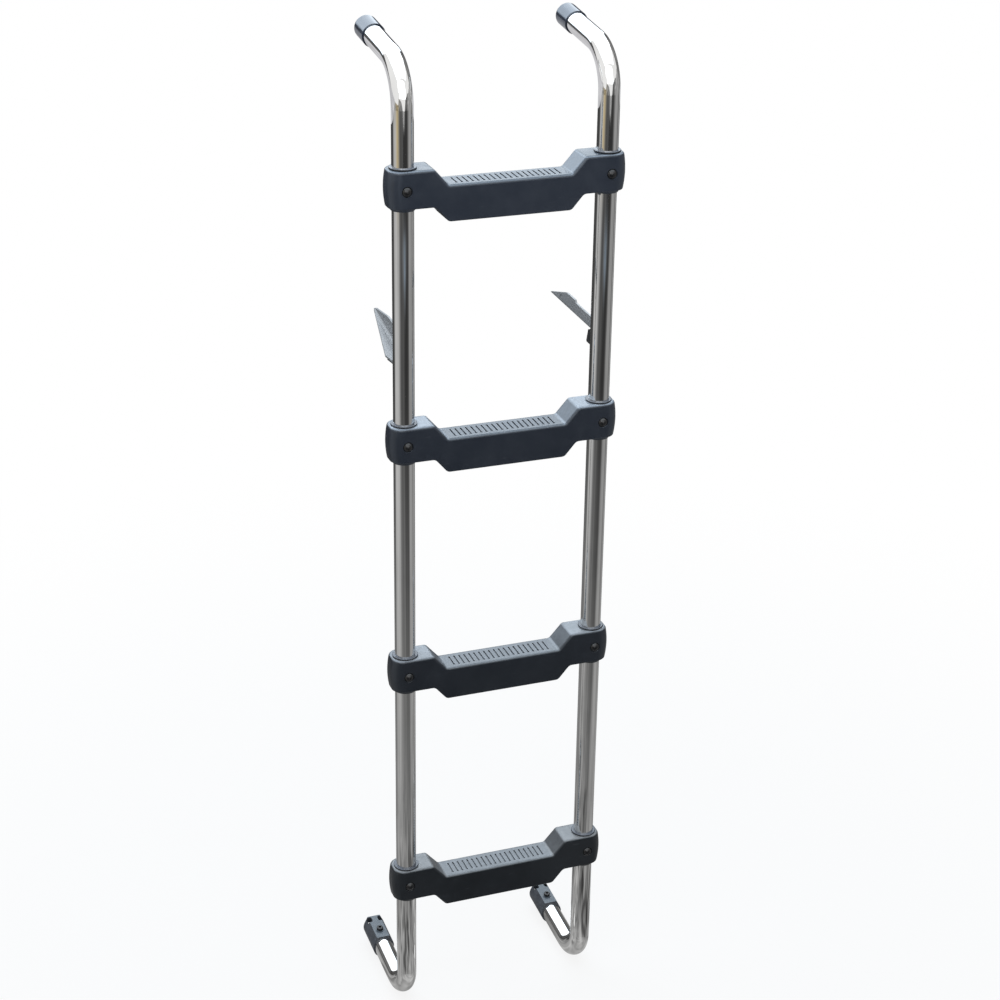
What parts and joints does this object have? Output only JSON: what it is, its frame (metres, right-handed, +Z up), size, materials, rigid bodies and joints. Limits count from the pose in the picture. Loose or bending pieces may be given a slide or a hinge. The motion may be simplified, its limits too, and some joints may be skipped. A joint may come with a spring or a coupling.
{
  "type": "truck cab access ladder",
  "caption": "Bolt-on truck cab access ladder: bent polished tube rails with hooked capped ends, moulded steps with grooved treads, rear sheet brackets and screw-on feet.",
  "frame": {"origin": "centre of the left foot's flat rear end, which bolts to the vehicle", "axes": "+X from the left rail to the right rail, +Y towards the vehicle, +Z up"},
  "size_m": [0.3586, 0.2155, 1.5995],
  "materials": {
    "rail_steel": "polished bent tube",
    "step_plastic": "satin moulded, near-black blue-grey",
    "collar_plastic": "satin moulded",
    "bolt_black": "black oxide, satin",
    "nut_zinc": "zinc plated",
    "bracket_grey": "matt grey sheet",
    "saddle_black": "matt black",
    "cap_black": "gloss black",
    "foot_grey": "satin dark grey"
  },
  "bodies": {
    "root": {"rail_left": "rail_steel", "rail_hook_left": "rail_steel", "rail_leg_left": "rail_steel", "top_cap_left": "cap_black", "foot_left": "foot_grey", "foot_bolt_left": "bolt_black", "bracket_left": "bracket_grey", "bracket_saddle_left": "saddle_black", "rail_right": "rail_steel", "rail_hook_right": "rail_steel", "rail_leg_right": "rail_steel", "top_cap_right": "cap_black", "foot_right": "foot_grey", "foot_bolt_right": "bolt_black", "bracket_right": "bracket_grey", "bracket_saddle_right": "saddle_black", "step_bottom": "step_plastic", "step_collars_bottom": "collar_plastic", "step_bolts_bottom": "bolt_black", "step_nuts_bottom": "nut_zinc", "step_lower": "step_plastic", "step_collars_lower": "collar_plastic", "step_bolts_lower": "bolt_black", "step_nuts_lower": "nut_zinc", "step_upper": "step_plastic", "step_collars_upper": "collar_plastic", "step_bolts_upper": "bolt_black", "step_nuts_upper": "nut_zinc", "step_top": "step_plastic", "step_collars_top": "collar_plastic", "step_bolts_top": "bolt_black", "step_nuts_top": "nut_zinc"}
  },
  "joints": []
}
